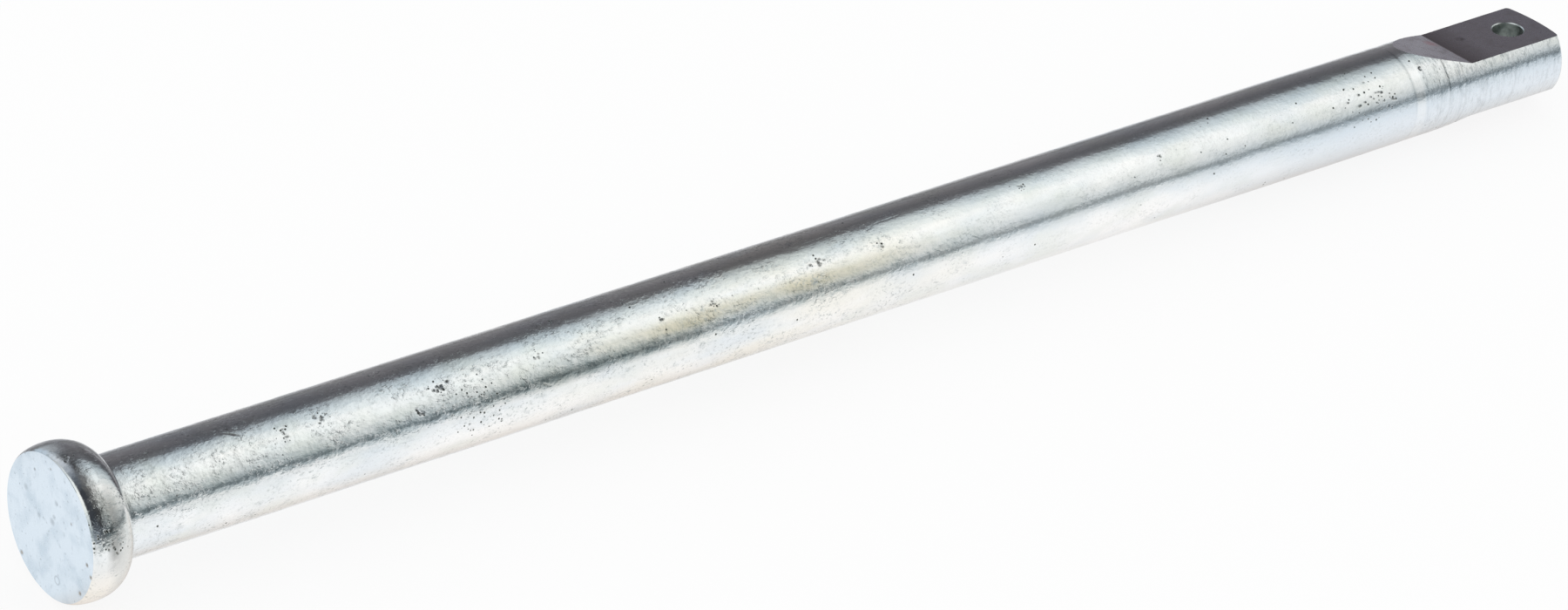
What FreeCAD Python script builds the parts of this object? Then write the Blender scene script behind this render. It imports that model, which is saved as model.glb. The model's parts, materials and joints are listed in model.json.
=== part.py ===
"""Headed retaining pin: a plain round shank with an upset head at one end.

The other end has two milled flats that run out into the shank on shallow ramps,
a cross hole for a split pin or clip, and a crowned tip. It is one solid, in
millimetres. It is drawn along its own axis, from the face of the head to the
tip, and then laid down as it comes to rest on a table: on the rim of the head
and on the shank just past the start of the lower ramp. The origin is under the
middle of its bounding box, +Z is up and the tip points along +X.
"""
import FreeCAD, Part
import math
import os

# Sizes of the shank and the head.
shank_diameter = 10.0
length_under_head = 175.0
head_height = 5.0
head_diameter = 15.2
head_face_diameter = 14.2
head_widest_from_face = 2.0
bearing_diameter = 11.6
neck_fillet_radius = 0.3

# Sizes of the tip. Lengths are measured from the top of its crown.
across_flats = 6.0
flat_length = 12.3
ramp_length = 7.2
cross_hole_diameter = 3.2
cross_hole_from_end = 4.0
cross_hole_chamfer = 0.1
tip_crown_radius = 22.0
tip_edge_radius = 0.4

# How far the resting pin is turned about its own axis, in degrees. Its upper
# flat leans towards +Y. Head and shank are round, so it can come to rest so.
rest_roll = -9.0

# Places along the pin's axis and distances from it that follow from the sizes.
overall_length = head_height + length_under_head
shank_radius = shank_diameter / 2
head_radius = head_diameter / 2
head_face_radius = head_face_diameter / 2
bearing_radius = bearing_diameter / 2
half_flats = across_flats / 2
ramp_foot = overall_length - flat_length
ramp_start = ramp_foot - ramp_length
ramp_slope = (shank_radius - half_flats) / ramp_length
cross_hole_radius = cross_hole_diameter / 2
cross_hole_place = overall_length - cross_hole_from_end

# How far a cutter reaches past the surface that it cuts.
overrun = 1.0

X_AXIS = FreeCAD.Vector(1, 0, 0)
Y_AXIS = FreeCAD.Vector(0, 1, 0)
HEAD_CENTRE = FreeCAD.Vector(0, 0, 0)


def at(along, out):
    """A point in the pin's lengthwise section, along its axis and out from it."""
    return FreeCAD.Vector(along, 0, out)


def around(centre, radius, angle):
    """A point on a circle in that section, at an angle from the pin's axis."""
    return centre + at(radius * math.cos(angle), radius * math.sin(angle))


def line(start, end):
    """A straight edge."""
    return Part.LineSegment(start, end).toShape()


def arc(centre, radius, first_angle, last_angle):
    """A round edge in the section."""
    middle_angle = (first_angle + last_angle) / 2
    points = [around(centre, radius, angle) for angle in (first_angle, middle_angle, last_angle)]
    return Part.Arc(*points).toShape()


def rounding(start, corner, end):
    """A quarter of an ellipse that touches the two sides of a square corner."""
    curve = Part.BezierCurve()
    curve.setPoles([start, corner, end])
    curve.setWeight(2, math.sqrt(0.5))
    return curve.toShape()


def turned_blank():
    """The pin before milling: head, neck, shank and crowned tip in one revolve."""
    face_edge = at(0, head_face_radius)
    widest = at(head_widest_from_face, head_radius)
    bearing_edge = at(head_height, bearing_radius)
    neck_top = at(head_height, shank_radius + neck_fillet_radius)
    neck_end = at(head_height + neck_fillet_radius, shank_radius)

    # The round at the tip's edge touches the side of the shank and the crown.
    crown_centre = at(overall_length - tip_crown_radius, 0)
    edge_out = shank_radius - tip_edge_radius
    edge_along = math.sqrt((tip_crown_radius - tip_edge_radius) ** 2 - edge_out ** 2)
    edge_centre = crown_centre + at(edge_along, edge_out)
    crown_angle = math.atan2(edge_out, edge_along)
    tip_edge = arc(edge_centre, tip_edge_radius, math.pi / 2, crown_angle)
    tip_crown = arc(crown_centre, tip_crown_radius, crown_angle, 0)

    section = Part.Wire([
        line(HEAD_CENTRE, face_edge),
        rounding(face_edge, at(0, head_radius), widest),
        rounding(widest, at(head_height, head_radius), bearing_edge),
        line(bearing_edge, neck_top),
        rounding(neck_top, at(head_height, shank_radius), neck_end),
        line(neck_end, around(edge_centre, tip_edge_radius, math.pi / 2)),
        tip_edge,
        tip_crown,
        line(at(overall_length, 0), HEAD_CENTRE),
    ])
    blank = Part.Face(section).revolve(HEAD_CENTRE, X_AXIS, 360)

    # An eighth of a turn takes the seam of the round faces away from the flats,
    # the cross hole and the line that the pin lies on.
    return blank.rotated(HEAD_CENTRE, X_AXIS, 45)


def flat_cutter():
    """What the mill takes off above the upper flat and its ramp."""
    top = shank_radius + overrun
    end = overall_length + overrun
    corners = [
        at(ramp_foot, half_flats),
        at(end, half_flats),
        at(end, top),
        at(ramp_start - overrun / ramp_slope, top),
    ]
    side = Part.Face(Part.makePolygon(corners + corners[:1]))
    side.translate(Y_AXIS * -top)
    return side.extrude(Y_AXIS * 2 * top)


def cross_hole_cutter():
    """The drill that passes square through both flats, and the chamfer at its upper mouth."""
    half_depth = half_flats + overrun
    drill = Part.makeCylinder(cross_hole_radius, 2 * half_depth, at(cross_hole_place, -half_depth))
    chamfer = Part.makeCone(
        cross_hole_radius,
        cross_hole_radius + cross_hole_chamfer + overrun,
        cross_hole_chamfer + overrun,
        at(cross_hole_place, half_flats - cross_hole_chamfer),
    )
    return drill.fuse(chamfer)


def retaining_pin():
    """The finished pin along its own axis, milled and chamfered alike above and below."""
    pin = turned_blank()
    for cutter in (flat_cutter(), cross_hole_cutter()):
        below = cutter.rotated(HEAD_CENTRE, X_AXIS, 180)
        pin = pin.cut([cutter, below])
    return pin


def laid_down(pin):
    """The pin at rest, on its head's rim and where the shank's round underside ends."""
    rise_to_ramp = shank_radius * (1 - math.cos(math.radians(rest_roll)))
    underside_end = ramp_start + rise_to_ramp / ramp_slope
    rest_tilt = math.atan2(head_radius - shank_radius, underside_end - head_widest_from_face)
    resting = pin.rotated(HEAD_CENTRE, X_AXIS, rest_roll)
    resting = resting.rotated(HEAD_CENTRE, Y_AXIS, math.degrees(rest_tilt))
    box = resting.optimalBoundingBox(False)
    resting.translate(FreeCAD.Vector(-box.Center.x, -box.Center.y, -box.ZMin))
    return resting


os.makedirs("parts", exist_ok=True)
laid_down(retaining_pin()).exportStep("parts/retaining_pin.step")
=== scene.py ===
"""Looks of a headed retaining pin, lying on a plain white floor.

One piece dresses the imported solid: a steel pin with an upset head, two milled
flats, a cross hole and a crowned tip, in bright zinc plating.
"""
import json
import math
import random

import bmesh
import bpy
from mathutils import Matrix, Vector, noise


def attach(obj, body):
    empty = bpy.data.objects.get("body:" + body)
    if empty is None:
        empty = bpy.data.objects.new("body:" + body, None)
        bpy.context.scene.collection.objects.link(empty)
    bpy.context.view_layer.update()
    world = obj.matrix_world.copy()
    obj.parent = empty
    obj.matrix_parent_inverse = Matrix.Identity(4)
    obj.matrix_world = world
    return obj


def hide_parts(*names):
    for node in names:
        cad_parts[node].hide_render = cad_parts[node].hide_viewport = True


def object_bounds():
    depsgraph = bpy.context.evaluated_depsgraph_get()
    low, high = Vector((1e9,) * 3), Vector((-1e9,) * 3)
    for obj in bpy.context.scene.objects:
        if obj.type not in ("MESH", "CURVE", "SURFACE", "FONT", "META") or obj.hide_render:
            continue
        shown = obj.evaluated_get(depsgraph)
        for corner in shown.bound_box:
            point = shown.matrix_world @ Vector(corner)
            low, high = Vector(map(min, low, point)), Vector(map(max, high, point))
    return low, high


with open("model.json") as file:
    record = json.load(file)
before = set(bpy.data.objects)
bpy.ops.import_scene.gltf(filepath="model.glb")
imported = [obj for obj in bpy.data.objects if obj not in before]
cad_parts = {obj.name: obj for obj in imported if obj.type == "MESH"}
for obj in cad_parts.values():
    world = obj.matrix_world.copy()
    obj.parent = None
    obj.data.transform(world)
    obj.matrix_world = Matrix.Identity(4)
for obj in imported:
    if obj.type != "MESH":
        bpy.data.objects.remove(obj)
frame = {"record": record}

cad_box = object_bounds()

# The retaining pin. It is one length of cold drawn steel bar. One end is upset
# in a die to a round-edged head, the other is turned, milled flat on two sides
# and drilled across. Then the whole pin is zinc plated.

# The pin is shaped in millimetres along its own axis, from the face of its head
# (x = 0) to the top of its tip. Its flats face +z and -z.
mounts = {mount["name"]: mount for mount in frame["record"]["mounts"]}
head_centre = Vector(mounts["head_face"]["pos_m"])
along = Vector(mounts["shank"]["axis"]).normalized()
across = Vector(mounts["cross_hole"]["axis"]).cross(along).normalized()
lying = Matrix((along, across, along.cross(across))).transposed().to_4x4()
lying.translation = head_centre
MM = 0.001


def place_along(name):
    """How far along the pin's axis a mount is, in millimetres."""
    return (Vector(mounts[name]["pos_m"]) - head_centre).dot(along) / MM


SHANK = mounts["shank"]["dims"]["r_mm"]
HEAD_HEIGHT = place_along("head_underside")
HEAD = (cad_box[1].z - cad_box[0].z) / 2 / MM
HEAD_FACE = 7.1
WIDEST = 2.0
BEARING = 5.8
NECK = 0.3
NECK_END = HEAD_HEIGHT + NECK
LENGTH = 180.0
CROWN = 22.0
TIP_EDGE = 0.4
HALF_FLATS = 3.0
RAMP_FOOT = 167.7
RAMP_START = 160.5
HOLE = mounts["cross_hole"]["dims"]["r_mm"]
HOLE_PLACE = place_along("cross_hole")
HOLE_CHAMFER = 0.1
TURNED_FROM = 159.5

# The outline is drawn from the middle of the head's face to the top of the tip.
pin = bmesh.new()


def straight(start, x, out):
    """Draws a straight stretch of the outline to a place along the pin and out from its axis."""
    end = bmesh.ops.extrude_vert_indiv(pin, verts=[start])["verts"][0]
    end.co = (x, 0, out)
    return end


def rounded(start, centre_x, centre_out, degrees, rings, wide=1.0, high=1.0):
    """Draws a round or oval corner of the outline about its centre."""
    before = set(pin.verts)
    drawn = bmesh.ops.spin(pin, geom=[start], cent=(centre_x, 0, centre_out), axis=(0, 1, 0),
                           angle=math.radians(degrees), steps=rings)
    corner = [v for v in pin.verts if v not in before]
    bmesh.ops.scale(pin, verts=corner, vec=(wide, 1, high),
                    space=Matrix.Translation((-centre_x, 0, -centre_out)))
    return drawn["geom_last"][0]


edge_out = SHANK - TIP_EDGE
edge_along = math.sqrt((CROWN - TIP_EDGE) ** 2 - edge_out ** 2)
crown_degrees = math.degrees(math.atan2(edge_out, edge_along))
crown_from = LENGTH - CROWN
tip_from = crown_from + edge_along
fine_from = TURNED_FROM - 1.0

point = pin.verts.new((0, 0, 0))
point = straight(point, 0, HEAD_FACE)
point = rounded(point, WIDEST, HEAD_FACE, 90, 16, high=(HEAD - HEAD_FACE) / WIDEST)
point = rounded(point, WIDEST, BEARING, 90, 16, wide=(HEAD_HEIGHT - WIDEST) / (HEAD - BEARING))
point = straight(point, HEAD_HEIGHT, SHANK + NECK)
point = rounded(point, NECK_END, SHANK + NECK, -90, 4)
point = straight(point, fine_from, SHANK)
point = straight(point, tip_from, SHANK)
point = rounded(point, tip_from, edge_out, 90 - crown_degrees, 5)
point = rounded(point, crown_from, 0, crown_degrees, 12)

# Rings of points lie 0.3 mm apart on the face, 0.5 on the shank and 0.16 at the
# turned end, where the tool left its lines. Each ring has 128 points.
for apart, low, high in ((0.3, -0.1, 0.1), (0.5, NECK_END, fine_from),
                         (0.16, fine_from, LENGTH - 0.5)):
    stretch = [edge for edge in pin.edges if edge.calc_length() > 3 * apart
               and low < (edge.verts[0].co.x + edge.verts[1].co.x) / 2 < high]
    bmesh.ops.subdivide_edges(pin, edges=stretch, cuts=int(stretch[0].calc_length() / apart))

bmesh.ops.spin(pin, geom=pin.verts[:] + pin.edges[:], cent=(0, 0, 0), axis=(1, 0, 0),
               angle=math.tau, steps=128, use_merge=True)
bmesh.ops.remove_doubles(pin, verts=pin.verts[:], dist=1e-4)
bmesh.ops.recalc_face_normals(pin, faces=pin.faces[:])

# Pits and knocks, each as its place, its radius and its depth in millimetres. The
# plating is dark and thin in them, and their darkening, more in deeper pits, is
# partly painted shade. They lie in groups, among many finer dots. A place is given
# along the pin, and by its angle up from the side that faces -y.
random.seed(12)
pits = []
dotted = []


def around_pin(x, degrees, out):
    """A place on the pin from its place along, its angle and its distance from the axis."""
    turn = math.radians(degrees)
    return Vector((x, -out * math.cos(turn), out * math.sin(turn)))


def pit_group(x, degrees, reach, count, size, depth, dots=0.8, out=SHANK):
    """Scatters a group of pits about a place, with fine dots among them."""
    dotted.append((around_pin(x, degrees, out), reach, dots))
    for _ in range(count):
        far = reach * random.random() ** 0.7
        way = random.uniform(0, math.tau)
        turn = math.degrees(0.7 * far * math.sin(way) / out)
        grow = random.uniform(0.6, 1.0)
        place = around_pin(x + far * math.cos(way), degrees + turn, out)
        pits.append((place, size * grow, depth * grow))


def scratch(first, last, width, depth):
    """Drags a point over the pin from one place and angle to another."""
    steps = 24
    for step in range(steps + 1):
        part = step / steps
        x = first[0] + (last[0] - first[0]) * part
        degrees = first[1] + (last[1] - first[1]) * part
        fade = 0.4 + 0.6 * math.sin(math.pi * part)
        pits.append((around_pin(x, degrees, SHANK), width, depth * fade))


pit_group(40.4, 48.9, 1.1, 12, 0.24, 0.06, 0.7)
pit_group(27.6, 57.2, 0.9, 6, 0.22, 0.04, 0.9)
pit_group(23.2, 52.4, 1.0, 5, 0.20, 0.04, 0.9)
pit_group(84.7, 49.7, 1.0, 9, 0.22, 0.035, 0.5)
pit_group(92.2, 46.6, 0.5, 4, 0.18, 0.03, 0.8)
pit_group(153.5, 39.8, 2.6, 9, 0.20, 0.05, 0.45)
pit_group(155.7, 32.0, 1.6, 8, 0.22, 0.06, 0.75)
pit_group(51.7, 46.8, 0.7, 4, 0.20, 0.03)
pit_group(44.0, 14.5, 2.8, 6, 0.18, 0.03, 0.6)
pit_group(161.1, 50.7, 0.3, 4, 0.24, 0.08, 1.0)
pit_group(65.8, 44.7, 0.3, 3, 0.20, 0.04)
pit_group(72.0, 44.0, 0.5, 3, 0.22, 0.04)
pit_group(110.0, 63.3, 0.8, 3, 0.18, 0.03)
pit_group(126.8, 46.6, 0.4, 2, 0.18, 0.03)
pit_group(10.1, 83.0, 0.4, 2, 0.20, 0.03)
pit_group(37.8, 26.3, 0.25, 3, 0.22, 0.06, 1.0)
pit_group(0.3, 18.0, 1.6, 6, 0.22, 0.05, 0.8, HEAD)
pit_group(2.1, 5.0, 1.1, 5, 0.22, 0.05, 0.9, HEAD)
pit_group(1.2, 78.0, 0.6, 3, 0.25, 0.05, 0.9, HEAD)
scratch((37.3, 33.5), (37.5, 26.5), 0.15, 0.05)
scratch((66.0, 37.8), (65.5, 18.0), 0.12, 0.008)
scratch((17.8, 76.4), (19.1, 65.0), 0.13, 0.02)
scratch((51.3, 17.5), (52.1, 12.0), 0.12, 0.012)
scratch((84.0, 79.0), (88.5, 80.5), 0.12, 0.010)
scratch((92.5, 75.5), (96.0, 77.0), 0.12, 0.010)

# A small crater with a raised middle on the rim, and another on the struck face.
rim_crater = 0.38
face_crater = 0.4
for step in range(18):
    way = math.tau * step / 18
    turn = math.degrees(rim_crater * math.sin(way) / HEAD)
    pits.append((around_pin(0.35 + rim_crater * math.cos(way), turn - 5.0, HEAD), 0.15, 0.03))
    pits.append((Vector((0, -1.1 + face_crater * math.cos(way),
                         -4.95 + face_crater * math.sin(way))), 0.14, 0.005))

# Chips by the edge of the struck face, and faint smudges on it.
for y, z, size, depth in (
        (-6.1, -1.0, 0.30, 0.015), (-4.9, -4.5, 0.30, 0.015), (-6.7, -2.0, 0.28, 0.015),
        (4.8, -4.8, 0.35, 0.012), (-3.55, 2.0, 0.22, 0.010), (2.45, 4.9, 0.22, 0.010),
        (-0.2, 6.1, 0.20, 0.010), (3.95, 2.4, 0.45, 0.005), (-1.1, 3.0, 0.40, 0.005),
        (-0.4, 0.8, 0.50, 0.006), (1.8, 0.5, 0.40, 0.005), (-0.7, 1.4, 0.35, 0.005)):
    pits.append((Vector((0, y, z)), size, depth))

# Points lie closer only where a pit is. No pit lies past 163 mm.
pitted = set()
for face in pin.faces:
    middle = face.calc_center_median()
    if middle.x < 163 and any((middle - place).length < 0.3 + size for place, size, _ in pits):
        pitted.update(face.edges)
bmesh.ops.subdivide_edges(pin, edges=list(pitted), cuts=3, use_grid_fill=True)

# What drawing, upsetting, turning, plating and wear leave on the surface, and the
# darkening of pits and tool grooves, which is partly painted shade. The waves of
# the shank lie about its true size, and the rest goes inwards. Depths are in
# millimetres.
LEAST_DEPTH = 0.004
ON_FACE = 0.02
FACE_DARKNESS = 70
SIDE_DARKNESS = 30
GROOVE_PAINTED_SHADE = 6
tool_grooves = ((162.9, 0.02), (164.1, 0.03), (165.4, 0.02), (166.2, 0.03), (168.2, 0.02),
                (169.0, 0.025), (171.3, 0.015), (173.0, 0.02))
pit_darkness_and_shade = pin.verts.layers.float.new("pitting")
dot_share = pin.verts.layers.float.new("dots")


def ripple(x, y, z, size):
    """A soft rise and fall from 0 to 1, as large as size in millimetres."""
    return 0.5 + 0.5 * noise.noise(Vector((x, y, z)) / size)


def rise(x, start, length):
    """Goes from 0 to 1 over a length of the pin."""
    return min(1.0, max(0.0, (x - start) / length))


def near(x, place, reach):
    """Is 1 at a place along the pin and falls to 0 within its reach."""
    return max(0.0, 1 - abs(x - place) / reach)


for vertex in pin.verts:
    x, y, z = vertex.co
    out = math.hypot(y, z)
    depth = LEAST_DEPTH
    if x > NECK_END:
        depth += 0.080 * (ripple(x * 0.3, y, z, 4.5) - 0.5)
        depth += 0.018 * (ripple(x * 0.6, y, z, 1.3) - 0.5)
        depth += 0.045 * rise(x, 148, 10)
        depth += 0.02 * rise(x, TURNED_FROM, 0.2)
        depth += 0.008 * near(x, TURNED_FROM + 0.05, 0.22)
        turned = rise(x, TURNED_FROM + 1.2, 0.4)
        if turned:
            wander = x + 0.25 * noise.noise(Vector((x * 0.1, y * 0.2, z * 0.2)))
            for place, deep in tool_grooves:
                groove = near(wander, place, 0.2)
                depth += deep * groove
                # Each tool groove is darkened with painted shade, more where it is deeper.
                vertex[pit_darkness_and_shade] = max(vertex[pit_darkness_and_shade], GROOVE_PAINTED_SHADE * deep * groove)
            depth += turned * 0.014 * ripple(wander * 3.2, y, z, 1.1)
    elif x > ON_FACE:
        depth += 0.035 * ripple(x, y, z, 4.0) + 0.012 * ripple(x, y, z, 1.4)
    darkness = FACE_DARKNESS if x < ON_FACE else SIDE_DARKNESS
    for place, size, deep in pits:
        away = (vertex.co - place).length
        if away < size:
            hollow = (1 - (away / size) ** 2) ** 1.5
            depth += deep * hollow
            # Each pit is darkened by its depth: its thin coat and painted shade.
            vertex[pit_darkness_and_shade] = max(vertex[pit_darkness_and_shade], min(1.0, darkness * deep) * hollow)
    for place, reach, dots in dotted:
        away = (vertex.co - place).length / (1.3 * reach)
        if away < 1:
            vertex[dot_share] = max(vertex[dot_share], dots * (1 - away * away))
    if x < ON_FACE:
        vertex.co.x = depth
    else:
        shrink = (out - depth) / max(out, depth)
        vertex.co = (min(x, LENGTH - 0.01), y * shrink, z * shrink)

body = bpy.data.meshes.new("retaining_pin_body")
pin.to_mesh(body)
pin.free()
retaining_pin = bpy.data.objects.new("retaining_pin_plated", body)
bpy.context.scene.collection.objects.link(retaining_pin)


# Bright zinc plating is a silvery, slightly bluish metal coat, thinner and darker
# in each pit and dot. The pits also get painted shade, more in deeper ones.
def linear(hex_colour):
    """A colour written as sRGB hex, as linear red, green, blue and alpha."""
    channels = [int(hex_colour[i:i + 2], 16) / 255 for i in (1, 3, 5)]
    return [c / 12.92 if c <= 0.04045 else ((c + 0.055) / 1.055) ** 2.4 for c in channels] + [1.0]


def add(tree, kind, settings, inputs):
    """Adds a node with its settings, its values and its links, and gives its outputs."""
    made = tree.nodes.new(kind)
    for name, value in settings.items():
        setattr(made, name, value)
    for name, value in inputs.items():
        if isinstance(value, bpy.types.NodeSocket):
            tree.links.new(value, made.inputs[name])
        else:
            made.inputs[name].default_value = value
    return made.outputs


def share_of(tree, follow, stretches, share=1.0):
    """Multiplies the shares of some stretches.

    Each follows a value from one place to another, and gives the share at both.
    """
    for followed, start, end, first, last in stretches:
        stretch = add(tree, "ShaderNodeMapRange", {}, {
            "Value": follow[followed], "From Min": start, "From Max": end,
            "To Min": first, "To Max": last})
        share = add(tree, "ShaderNodeMath", {"operation": "MULTIPLY"},
                    {0: stretch["Result"], 1: share})[0]
    return share


DOTS_APART = 0.36
rare_cloud = ((8, 4, 4), 2, 0.5)


def plated(name, base, smoothest, clouds, spots, marks):
    """Makes a zinc plated finish from its main colour, its least roughness and its marks.

    A cloud is a soft pattern: its size in mm along x, y and z, its detail and its
    roughness. A spot is a place on the pin. A mark changes the tone, the roughness or
    the relief in mm. Its stretches follow x, y, z, a cloud, the distance from a spot,
    the pitting or the dots.
    """
    finish = bpy.data.materials.new(name)
    finish.use_nodes = True
    tree = finish.node_tree
    shader = tree.nodes["Principled BSDF"]
    shader.inputs["Metallic"].default_value = 1.0
    coordinates = add(tree, "ShaderNodeTexCoord", {}, {})
    place = add(tree, "ShaderNodeMapping", {"vector_type": "TEXTURE"},
                {"Vector": coordinates["Object"], "Location": lying.translation,
                 "Rotation": lying.to_euler(), "Scale": (MM, MM, MM)})["Vector"]
    split = add(tree, "ShaderNodeSeparateXYZ", {}, {"Vector": place})
    follow = {"x": split["X"], "y": split["Y"], "z": split["Z"]}
    for layer in ("pitting", "dots"):
        follow[layer] = add(tree, "ShaderNodeAttribute", {"attribute_name": layer}, {})["Fac"]
    for cloud, (size, detail, roughness) in {"rare": rare_cloud, **clouds}.items():
        sized = add(tree, "ShaderNodeMapping", {},
                    {"Vector": place, "Scale": [1 / mm for mm in size]})
        follow[cloud] = add(tree, "ShaderNodeTexNoise", {}, {
            "Vector": sized["Vector"], "Scale": 1.0, "Detail": detail,
            "Roughness": roughness})["Fac"]
    for spot, centre in spots.items():
        follow[spot] = add(tree, "ShaderNodeVectorMath", {"operation": "DISTANCE"},
                           {0: place, 1: centre})["Value"]

    # Round dots, 0.1 to 0.25 mm wide, thick in the pitted places and rare elsewhere.
    cells = add(tree, "ShaderNodeMapping", {}, {"Vector": place, "Scale": [1 / DOTS_APART] * 3})
    cells = add(tree, "ShaderNodeTexVoronoi", {}, {"Vector": cells["Vector"], "Scale": 1.0})
    lot = add(tree, "ShaderNodeSeparateColor", {}, {"Color": cells["Color"]})
    rare = add(tree, "ShaderNodeMapRange", {}, {
        "Value": follow["rare"], "From Min": 0.52, "From Max": 0.75, "To Max": 0.06})
    often = add(tree, "ShaderNodeMath", {"operation": "MAXIMUM"},
                {0: follow["dots"], 1: rare["Result"]})
    drawn_lot = add(tree, "ShaderNodeMath", {"operation": "GREATER_THAN"},
                    {0: often[0], 1: lot["Red"]})
    width = add(tree, "ShaderNodeMath", {"operation": "MULTIPLY_ADD"},
                {0: lot["Green"], 1: 0.16, 2: cells["Distance"]})
    dot = add(tree, "ShaderNodeMapRange", {}, {
        "Value": width[0], "From Min": 0.24, "From Max": 0.38, "To Min": 1.0, "To Max": 0.0})
    follow["dots"] = add(tree, "ShaderNodeMath", {"operation": "MULTIPLY"},
                         {0: drawn_lot[0], 1: dot["Result"]})[0]

    colour = linear(base)
    rough = smoothest
    relief = {}
    for changed, value, stretches in marks:
        share = share_of(tree, follow, stretches)
        if changed == "tone":
            colour = add(tree, "ShaderNodeMix", {"data_type": "RGBA"},
                         {0: share, 6: colour, 7: linear(value)})[2]
        elif changed == "roughness":
            rough = add(tree, "ShaderNodeMath", {"operation": "MULTIPLY_ADD"},
                        {0: share, 1: value, 2: rough})[0]
        else:
            bump = add(tree, "ShaderNodeBump", {},
                       {"Strength": 1.0, "Distance": value * MM, "Height": share, **relief})
            relief = {"Normal": bump["Normal"]}
    tree.links.new(colour, shader.inputs["Base Color"])
    tree.links.new(rough, shader.inputs["Roughness"])
    tree.links.new(relief["Normal"], shader.inputs["Normal"])
    return finish


# On drawn bar the coat has a soft orange peel and cloudy patches from bluish grey
# to cream, with groups of darker specks. The specks and the peel grow fainter
# from the middle of the pin on.
grained = ("grained", 0.42, 0.62, 0.12, 1)
thinning = ("x", 85, 110, 1, 0.4)
drawn_clouds = {
    "patches": ((10, 4, 4), 3, 0.5),
    "green patches": ((5.2, 2.6, 2.6), 3, 0.5),
    "cream patches": ((9.6, 3.2, 3.2), 3, 0.5),
    "mottle": ((1.04, 0.8, 0.8), 5, 0.68),
    "grained": ((4.3, 2.4, 2.4), 3, 0.6),
    "grain": ((0.31, 0.26, 0.26), 2, 0.5),
    "gloss": ((2.56, 1.6, 1.6), 4, 0.6),
    "peel": ((1.43, 1.1, 1.1), 3, 0.5),
    "fine peel": ((0.39, 0.3, 0.3), 2, 0.5),
    "flecks": ((0.61, 0.38, 0.38), 3, 0.6),
}
drawn_marks = [
    ("tone", "#FFFFFF", [("patches", 0.35, 0.6, 0, 1)]),
    ("tone", "#F0F3F0", [("green patches", 0.5, 0.68, 0, 0.8)]),
    ("tone", "#FBF8F0", [("cream patches", 0.38, 0.62, 0.1, 0.9), ("x", 40, 75, 0.15, 1),
                         ("x", 85, 110, 1, 0.2)]),
    # The lower side is bluer from the last quarter of the shank on.
    ("tone", "#E2EAF2", [("x", 125, 150, 0, 0.8), ("z", 1.5, 2.5, 1, 0)]),
    # A warmer patch lies low on the side towards -y, with a greyer one below it.
    ("tone", "#DED3B4", [("patches", 0.3, 0.6, 0.15, 0.75), ("x", 46, 70, 0, 1),
                         ("x", 84, 100, 1, 0), ("y", -3, -2, 1, 0), ("z", 1.8, 2.4, 0, 1),
                         ("z", 2.9, 3.7, 1, 0)]),
    ("tone", "#A8ACA6", [("patches", 0.3, 0.6, 0.5, 1), ("x", 42, 52, 0, 0.9),
                         ("x", 62, 72, 1, 0), ("y", -4, -3, 1, 0), ("z", 0.6, 1.4, 0, 1),
                         ("z", 1.9, 2.5, 1, 0)]),
    # The rim of the head is cream below and mottled grey on the side towards -y.
    ("tone", "#FBF3E8", [("x", 4.5, 5.0, 0.6, 0), ("z", -2.5, 0.5, 1, 0)]),
    ("tone", "#B2B1AE", [("mottle", 0.3, 0.5, 0.5, 1), ("x", 1.2, 2.0, 0, 1),
                         ("x", 2.4, 3.4, 1, 0.35), ("x", 4.7, 5.0, 1, 0), ("y", -3, -2, 1, 0),
                         ("z", -2.4, 0.2, 0, 1), ("z", 4.4, 6.2, 1, 0)]),
    ("tone", "#DFDFDC", [("x", 1.8, 3.0, 0, 0.8), ("x", 4.6, 5.0, 1, 0), ("z", 0, 2, 1, 0)]),
    ("tone", "#CCD1D2", [("mottle", 0.53, 0.7, 0, 0.8), grained, thinning]),
    ("tone", "#AAB0AF", [("grain", 0.55, 0.75, 0, 0.9), grained, thinning]),
    ("roughness", 0.1, [("gloss", 0.3, 0.7, 0, 1)]),
    ("roughness", 0.2, [("flecks", 0.55, 0.75, 0, 1), thinning]),
    ("relief", 0.045, [("peel", 0, 1, 0, 1), ("x", 85, 110, 1, 0.65)]),
    ("relief", 0.008, [("fine peel", 0, 1, 0, 1)]),
    ("relief", 0.024, [("flecks", 0.52, 0.75, 0, 1), grained, thinning]),
]
pitted_marks = [
    ("tone", "#54564F", [("dots", 0, 1, 0, 1)]),
    # Pits and tool grooves darken: partly their thin coat, partly painted shade.
    ("tone", "#5A5852", [("pitting", 0, 1, 0, 0.75)]),
    ("roughness", 0.3, [("pitting", 0, 1, 0, 1)]),
    ("relief", 0.02, [("dots", 0, 1, 1, 0)]),
]
drawn_finish = plated("zinc_plating_on_drawn_steel", "#EDF2F6", 0.07, drawn_clouds, {},
                      drawn_marks + pitted_marks)

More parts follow.
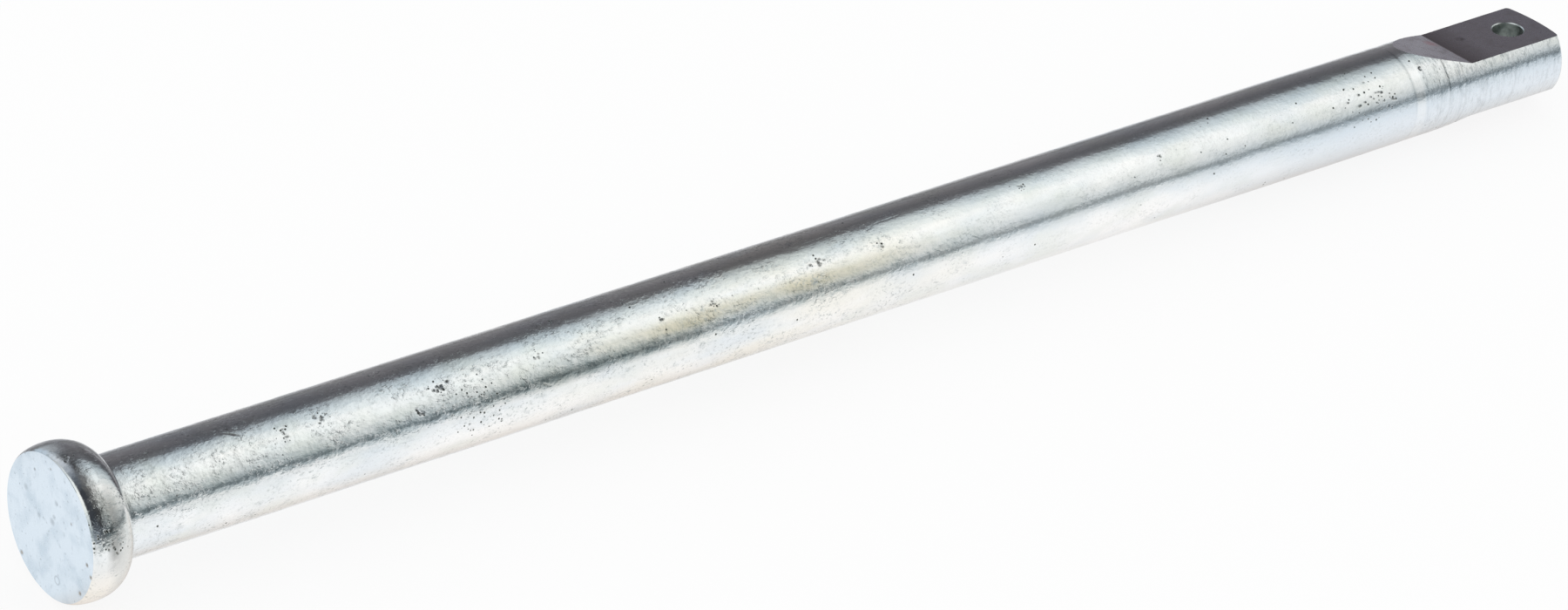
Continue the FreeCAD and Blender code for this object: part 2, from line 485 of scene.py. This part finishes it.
# The end was turned before plating, and shows a faint step, a smooth bright land
# and dark broken tool lines. A faint painted shade darkens the step, and the
# deeper tool grooves get painted shade. The lines are finer than the render
# shows, so they are drawn coarser, about 0.3 mm apart.
turned_clouds = {**drawn_clouds, "tool lines": ((0.31, 1.1, 1.1), 3, 0.6)}
past_land = ("x", TURNED_FROM + 1.1, TURNED_FROM + 1.7, 0, 1)
turned_marks = [
    ("tone", "#A3A9AD", [("tool lines", 0.5, 0.66, 0, 0.6), past_land, ("z", 1, 3, 0.4, 1)]),
    ("tone", "#FFFFFF", [("x", TURNED_FROM + 0.1, TURNED_FROM + 0.3, 0, 0.85),
                         ("x", TURNED_FROM + 1.2, TURNED_FROM + 1.5, 1, 0),
                         ("z", -1, 2, 0.2, 1)]),
    # A faint line of painted shade at the step, stronger on the upper side.
    ("tone", "#8B9296", [("x", TURNED_FROM + 0.05, TURNED_FROM + 0.25, 0.2, 0),
                         ("z", -1, 2, 0.2, 1)]),
    ("relief", 0.045, [("tool lines", 0, 1, 0, 1), past_land, ("z", 0, 1.5, 0.5, 1)]),
]
turned_finish = plated("zinc_plating_on_turned_steel", "#EDF2F6", 0.07, turned_clouds, {},
                       drawn_marks + turned_marks + pitted_marks)

# The struck face of the head is the smoothest part: a satin, bluish coat with
# faint smudges and small spots.
face_clouds = {
    "smudges": ((2.2, 2.2, 2.2), 3, 0.5),
    "rings": ((0.7, 0.7, 0.7), 3, 0.6),
    "flecks": ((0.35, 0.35, 0.35), 2, 0.5),
    "waves": ((1.4, 1.4, 1.4), 3, 0.5),
}
face_marks = [
    ("tone", "#D3E0EA", [("smudges", 0.45, 0.7, 0, 0.9)]),
    ("tone", "#BFCAD2", [("rings", 0.6, 0.74, 0, 0.6)]),
    ("tone", "#98A2A8", [("flecks", 0.68, 0.76, 0, 0.8)]),
    # The face's pits and chips darken: partly their thin coat, partly painted shade.
    ("tone", "#5C666E", [("pitting", 0, 1, 0, 0.9)]),
    ("roughness", 0.06, [("smudges", 0.3, 0.7, 0, 1)]),
    ("relief", 0.005, [("waves", 0, 1, 0, 1)]),
]
face_finish = plated("zinc_plating_on_struck_face", "#E6F0F8", 0.22, face_clouds, {},
                     face_marks)

# The milled flats and their ramps have a duller, purplish coat, darker by the foot
# of the ramp, with brown and pinkish stains and fine cutter lines across the pin.
milled_clouds = {
    "stains": ((1.6, 1.6, 1.6), 4, 0.6),
    "fine": ((0.5, 0.5, 0.5), 3, 0.5),
    "cutter lines": ((0.32, 0.9, 0.9), 2, 0.5),
}
milled_spots = {
    "stain": (170.4, 1.0, HALF_FLATS),
    "pink stain": (166.8, 1.5, HALF_FLATS + 0.25),
}
milled_marks = [
    ("tone", "#E2DCE3", [("x", RAMP_FOOT - 0.3, RAMP_FOOT + 0.1, 0, 1),
                         ("x", 174, 179, 1, 0.2)]),
    ("tone", "#C2B9BD", [("stains", 0.45, 0.72, 0, 0.8)]),
    ("tone", "#9D9294", [("x", RAMP_FOOT - 0.2, RAMP_FOOT, 0, 0.85),
                         ("x", RAMP_FOOT, RAMP_FOOT + 3.5, 1, 0)]),
    ("tone", "#8C8486", [("stain", 0.2, 0.6, 0.8, 0), ("fine", 0.35, 0.6, 0.3, 1)]),
    ("tone", "#EABCC4", [("pink stain", 0.3, 1.0, 0.9, 0), ("fine", 0.35, 0.55, 0.4, 1)]),
    ("tone", "#A8A2A6", [("fine", 0.55, 0.75, 0, 0.3)]),
    ("roughness", 0.12, [("stains", 0.3, 0.7, 0, 1)]),
    ("relief", 0.003, [("cutter lines", 0, 1, 0, 1)]),
]
milled_finish = plated("zinc_plating_on_milled_steel", "#E6E3EC", 0.22, milled_clouds,
                       milled_spots, milled_marks)

# The coat is thin and greenish grey in the drilled hole, with the drill's rings.
drilled_clouds = {
    "worn": ((0.7, 0.7, 0.7), 4, 0.6),
    "drill rings": ((3, 3, 0.25), 2, 0.5),
}
drilled_marks = [
    ("tone", "#A9B0AD", [("worn", 0.4, 0.65, 0, 1)]),
    ("roughness", 0.12, [("worn", 0.3, 0.7, 0, 1)]),
    ("relief", 0.015, [("drill rings", 0, 1, 0, 1)]),
]
drilled_finish = plated("zinc_plating_on_drilled_steel", "#E6EAE8", 0.28, drilled_clouds, {},
                        drilled_marks)

finishes = [drawn_finish, turned_finish, face_finish, milled_finish, drilled_finish]
for finish in finishes:
    body.materials.append(finish)
for face in body.polygons:
    if face.center.x < 0.01:
        face.material_index = finishes.index(face_finish)
    elif face.center.x > TURNED_FROM:
        face.material_index = finishes.index(turned_finish)


# Two flats are milled and the hole is drilled and chamfered from both sides.
def cut_away(cutter, name, finish):
    """Takes a cutter's shape from the pin, on both sides, and leaves a finish on the cut."""
    for turn in (0, 180):
        shape = cutter.copy()
        bmesh.ops.rotate(shape, verts=shape.verts[:], cent=(0, 0, 0),
                         matrix=Matrix.Rotation(math.radians(turn), 3, "X"))
        bmesh.ops.recalc_face_normals(shape, faces=shape.faces[:])
        tool_mesh = bpy.data.meshes.new(name)
        shape.to_mesh(tool_mesh)
        shape.free()
        tool_mesh.materials.append(finish)
        tool = bpy.data.objects.new(name, tool_mesh)
        bpy.context.scene.collection.objects.link(tool)
        cut = retaining_pin.modifiers.new(name, "BOOLEAN")
        cut.operation = "DIFFERENCE"
        cut.solver = "EXACT"
        cut.material_mode = "TRANSFER"
        cut.object = tool
        bpy.context.view_layer.update()
        cut_mesh = bpy.data.meshes.new_from_object(
            retaining_pin.evaluated_get(bpy.context.evaluated_depsgraph_get()))
        retaining_pin.modifiers.clear()
        retaining_pin.data = cut_mesh
        bpy.data.objects.remove(tool)
    cutter.free()


PAST_PIN = 3.0
CUTTER_WIDTH = 16.0
slope = (SHANK - HALF_FLATS) / (RAMP_FOOT - RAMP_START)
flat_cutter = bmesh.new()
corners = [flat_cutter.verts.new((x, -CUTTER_WIDTH / 2, z)) for x, z in (
    (RAMP_FOOT, HALF_FLATS), (LENGTH + PAST_PIN, HALF_FLATS),
    (LENGTH + PAST_PIN, SHANK + PAST_PIN), (RAMP_START - PAST_PIN / slope, SHANK + PAST_PIN))]
side = flat_cutter.faces.new(corners)
swept = bmesh.ops.extrude_face_region(flat_cutter, geom=[side])["geom"]
bmesh.ops.translate(flat_cutter, vec=(0, CUTTER_WIDTH, 0),
                    verts=[part for part in swept if isinstance(part, bmesh.types.BMVert)])
cut_away(flat_cutter, "flat_cutter", milled_finish)

PAST_FLAT = 1.0
hole_cutter = bmesh.new()
bmesh.ops.create_cone(hole_cutter, cap_ends=True, cap_tris=False, segments=64,
                      radius1=HOLE, radius2=HOLE, depth=2 * HALF_FLATS,
                      matrix=Matrix.Translation((HOLE_PLACE, 0, PAST_FLAT)))
cut_away(hole_cutter, "hole_cutter", drilled_finish)

BELOW = 0.2
ABOVE = 0.5
chamfer_cutter = bmesh.new()
bmesh.ops.create_cone(chamfer_cutter, cap_ends=True, cap_tris=False, segments=64,
                      radius1=HOLE - BELOW, radius2=HOLE + HOLE_CHAMFER + ABOVE,
                      depth=BELOW + HOLE_CHAMFER + ABOVE, matrix=Matrix.Translation(
                          (HOLE_PLACE, 0, HALF_FLATS + (ABOVE - HOLE_CHAMFER - BELOW) / 2)))
cut_away(chamfer_cutter, "chamfer_cutter", drilled_finish)

# Along the edges of the hole the cuts leave some points twice. They are merged.
MERGED_WITHIN = 0.001
cut_pin = bmesh.new()
cut_pin.from_mesh(retaining_pin.data)
bmesh.ops.remove_doubles(cut_pin, verts=cut_pin.verts[:], dist=MERGED_WITHIN)
bmesh.ops.dissolve_degenerate(cut_pin, dist=MERGED_WITHIN, edges=cut_pin.edges[:])
cut_pin.to_mesh(retaining_pin.data)
cut_pin.free()

# The finished pin is laid down where the solid lies, smooth but for its milled edges.
retaining_pin.data.transform(lying @ Matrix.Scale(MM, 4))
retaining_pin.data.shade_smooth()
retaining_pin.data.set_sharp_from_angle(angle=math.radians(14))
retaining_pin.data.name = "retaining_pin_plated"
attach(retaining_pin, "root")
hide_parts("retaining_pin")

# The floor is a plain white sheet. To the camera it is white with the pin's soft
# shadow. In the plating it shows painted reflections: white close by, a warm painted
# shade just in front of the pin, a painted pool of light along part of the pin, and
# grey farther off in front and dark behind it.
floor_mesh = bpy.data.meshes.new("floor")
sheet = bmesh.new()
bmesh.ops.create_grid(sheet, x_segments=1, y_segments=1, size=6.0)
sheet.to_mesh(floor_mesh)
sheet.free()
floor = bpy.data.objects.new("floor", floor_mesh)
bpy.context.scene.collection.objects.link(floor)


def colour_ramp(ramp, low, high, shades):
    """Gives a ramp from low to high its colours, each at its place."""
    for at, colour in shades:
        where = (at - low) / (high - low)
        stop = ramp.elements.new(where) if 0 < where < 1 else ramp.elements[-round(where)]
        stop.color = linear(colour)


SHADED_TO = 0.1
SHOWN_BRIGHTNESS = 0.85
white = linear("#FFFFFF")
white_sheet = bpy.data.materials.new("white_paper_sheet")
white_sheet.use_nodes = True
tree = white_sheet.node_tree
tree.nodes.remove(tree.nodes["Principled BSDF"])
ray = add(tree, "ShaderNodeLightPath", {}, {})
coordinates = add(tree, "ShaderNodeTexCoord", {}, {})
split = add(tree, "ShaderNodeSeparateXYZ", {}, {"Vector": coordinates["Object"]})
reach = add(tree, "ShaderNodeMapRange", {},
            {"Value": split["Y"], "From Min": -SHADED_TO, "From Max": SHADED_TO})
shades = add(tree, "ShaderNodeValToRGB", {}, {"Fac": reach["Result"]})["Color"]
# Painted reflections: a warm painted shade just in front of the pin's contact, and painted dark
# behind the pin.
colour_ramp(shades.node.color_ramp, -SHADED_TO, SHADED_TO, (
    (-SHADED_TO, "#DDE2E4"), (-0.026, "#F3F7F9"), (-0.009, "#FFFFFF"), (-0.0055, "#F6F3F0"),
    (-0.003, "#E3DDD8"), (0.0, "#F8FBFE"), (0.018, "#F8FBFE"), (0.03, "#A8A8AC"),
    (0.05, "#747378"), (SHADED_TO, "#444347")))
# A painted pool of light brightens the floor in front, along part of the pin, in reflections
# only.
painted_light_pool = share_of(tree, {"x": split["X"], "y": split["Y"]}, [
    ("x", -0.02, 0.0, 0, 1), ("x", 0.035, 0.055, 1, 0), ("y", -0.002, 0.0, 1, 0)], 0.6)
shown = add(tree, "ShaderNodeMix", {"data_type": "RGBA"}, {0: painted_light_pool, 6: shades, 7: white})[2]
shown = add(tree, "ShaderNodeMix", {"data_type": "RGBA"},
            {0: ray["Is Glossy Ray"], 6: white, 7: shown})[2]
glow = add(tree, "ShaderNodeEmission", {}, {"Color": shown, "Strength": 1.0})
paper = add(tree, "ShaderNodeBsdfDiffuse", {}, {"Color": linear("#FCFCFC")})
seen = add(tree, "ShaderNodeMath", {"operation": "MAXIMUM"},
           {0: ray["Is Camera Ray"], 1: ray["Is Glossy Ray"]})
seen = add(tree, "ShaderNodeMath", {"operation": "MAXIMUM"},
           {0: seen[0], 1: ray["Is Transmission Ray"]})
bright = add(tree, "ShaderNodeMath", {"operation": "MULTIPLY"},
             {0: seen[0], 1: SHOWN_BRIGHTNESS})
surface = add(tree, "ShaderNodeMixShader", {},
              {0: bright[0], 1: paper["BSDF"], 2: glow["Emission"]})
tree.links.new(surface[0], tree.nodes["Material Output"].inputs["Surface"])
floor_mesh.materials.append(white_sheet)

# The light is a white tent with a dark gap low behind and one at the horizon. Its
# brightness goes by the angle about the pin, from the camera's side up and over.
# The plating shows it as bands that run along the shank.
world = bpy.data.worlds.new("light_tent")
bpy.context.scene.world = world
world.use_nodes = True
tree = world.node_tree
coordinates = add(tree, "ShaderNodeTexCoord", {}, {})
turned_back = add(tree, "ShaderNodeMapping", {"vector_type": "TEXTURE"},
                  {"Vector": coordinates["Generated"], "Rotation": lying.to_euler()})
split = add(tree, "ShaderNodeSeparateXYZ", {}, {"Vector": turned_back["Vector"]})
towards = add(tree, "ShaderNodeMath", {"operation": "MULTIPLY"}, {0: split["Y"], 1: -1.0})
angle = add(tree, "ShaderNodeMath", {"operation": "ARCTAN2"}, {0: split["Z"], 1: towards[0]})
angle = add(tree, "ShaderNodeMath", {"operation": "DEGREES"}, {0: angle[0]})[0]

# Parts of the tent, by direction along the pin and across it and by the angle in
# degrees: a lower edge by the head, brighter stretches towards the tip, past it, in
# the middle and at the top edge, the plainer part behind, the side that is open, and
# what the edge of the head shows there.
follow = {"x": split["X"], "y": split["Y"], "angle": angle}
part = {name: share_of(tree, follow, stretches) for name, stretches in (
    ("lower edge", [("x", 0.46, 0.53, 5, 0), ("angle", 60, 90, 0, 1)]),
    ("towards tip", [("x", 0.46, 0.53, 0.95, 1.05), ("x", 0.57, 0.66, 1, 0.8)]),
    ("past tip", [("x", 0.62, 0.7, 0, 1.3), ("angle", 150, 165, 0, 1)]),
    ("middle", [("x", 0.525, 0.56, 0, 0.42), ("x", 0.6, 0.63, 1, 0.6),
                ("angle", 4, 16, 0.5, 1), ("angle", 60, 80, 1, 0)]),
    ("top edge", [("x", 0.525, 0.55, 0, 0.035), ("x", 0.59, 0.61, 1, 0.3),
                  ("angle", 140, 160, 0, 1)]),
    ("behind", [("x", -0.2, 0, 1, 0)]),
    ("open side", [("x", 0.28, 0.47, 1, 0), ("x", -0.45, -0.3, 0, 1)]),
    ("by the face", [("x", 0.05, 0.25, 1, 0), ("x", -0.45, -0.3, 0, 1)]),
)}

LOWEST = -20
HIGHEST = 180
edge = add(tree, "ShaderNodeMath", {"operation": "ADD"}, {0: angle, 1: part["lower edge"]})
bands = {}
for name, turned, smooth, shades in (
        ("tent", edge[0], "EASE", (
            (LOWEST, "#E0E6E6"), (-9, "#D9E0E2"), (-1, "#9AA6AB"), (3, "#606B6F"),
            (6, "#616C70"), (11, "#949FA2"), (20, "#BDC5C6"), (38, "#DFE4E2"),
            (52, "#F6FAF8"), (66, "#FCFEFC"), (82, "#EAF0F0"), (98, "#CCD5D8"),
            (112, "#A5ADB2"), (119, "#6A6C70"), (131, "#5C5C60"), (148, "#656468"),
            (160, "#6E6D71"), (172, "#7E7E82"), (HIGHEST, "#848488"))),
        ("rear", angle, "EASE", (
            (LOWEST, "#E0E6E6"), (-8, "#C9D0D2"), (5, "#8A9498"), (20, "#C6CED0"),
            (55, "#F6FAF8"), (95, "#EAF0F0"), (130, "#C2C8CA"), (150, "#8E9498"),
            (165, "#7C8084"), (HIGHEST, "#A4A8AA"))),
        ("room", angle, "LINEAR", (
            (LOWEST, "#7C8286"), (0, "#5A5E62"), (10, "#38393B"), (40, "#3C3D3F"),
            (66, "#626362"), (86, "#6C6C6C"), (104, "#3E3E40"), (126, "#38383A"),
            (140, "#7A7E84"), (152, "#A6AAAE"), (HIGHEST, "#B4B8BA"))),
        ("strip", angle, "LINEAR", (
            (LOWEST, "#B0B8BE"), (-6, "#A0A8AE"), (8, "#747C84"), (20, "#3C4046"),
            (66, "#373A40"), (86, "#5E646C"), (106, "#A6ADB5"), (126, "#CDD2D8"),
            (146, "#C2CDD7"), (HIGHEST, "#B8C6D2")))):
    turn = add(tree, "ShaderNodeMapRange", {},
               {"Value": turned, "From Min": LOWEST, "From Max": HIGHEST})
    bands[name] = add(tree, "ShaderNodeValToRGB", {}, {"Fac": turn["Result"]})["Color"]
    bands[name].node.color_ramp.interpolation = smooth
    colour_ramp(bands[name].node.color_ramp, LOWEST, HIGHEST, shades)

gain = add(tree, "ShaderNodeMath", {"operation": "MULTIPLY_ADD"},
           {0: part["towards tip"], 1: part["past tip"], 2: part["towards tip"]})
shown = add(tree, "ShaderNodeVectorMath", {"operation": "SCALE"},
            {0: bands["tent"], "Scale": gain[0]})["Vector"]
for share, colour in ((part["middle"], white), (part["top edge"], white),
                      (part["behind"], bands["rear"]), (part["open side"], bands["room"]),
                      (part["by the face"], bands["strip"])):
    shown = add(tree, "ShaderNodeMix", {"data_type": "RGBA"}, {0: share, 6: shown, 7: colour})[2]
ray = add(tree, "ShaderNodeLightPath", {}, {})
plain = add(tree, "ShaderNodeMath", {"operation": "MAXIMUM"},
            {0: ray["Is Camera Ray"], 1: ray["Is Diffuse Ray"]})
shown = add(tree, "ShaderNodeMix", {"data_type": "RGBA"}, {0: plain[0], 6: shown, 7: white})[2]
tree.links.new(shown, tree.nodes["Background"].inputs["Color"])

# The camera looks along the pin from the head's side, from a little above, with a
# long lens.
lens = bpy.data.cameras.new("camera")
lens.lens = 182.45
lens.sensor_width = 36
lens.clip_end = 50
camera = bpy.data.objects.new("camera", lens)
camera.location = (-0.41842, -0.46688, 0.44421)
camera.rotation_euler = [math.radians(turn) for turn in (54.4883, -6.6407, -36.7053)]
bpy.context.scene.collection.objects.link(camera)
bpy.context.scene.camera = camera
bpy.context.scene.view_settings.view_transform = "Standard"
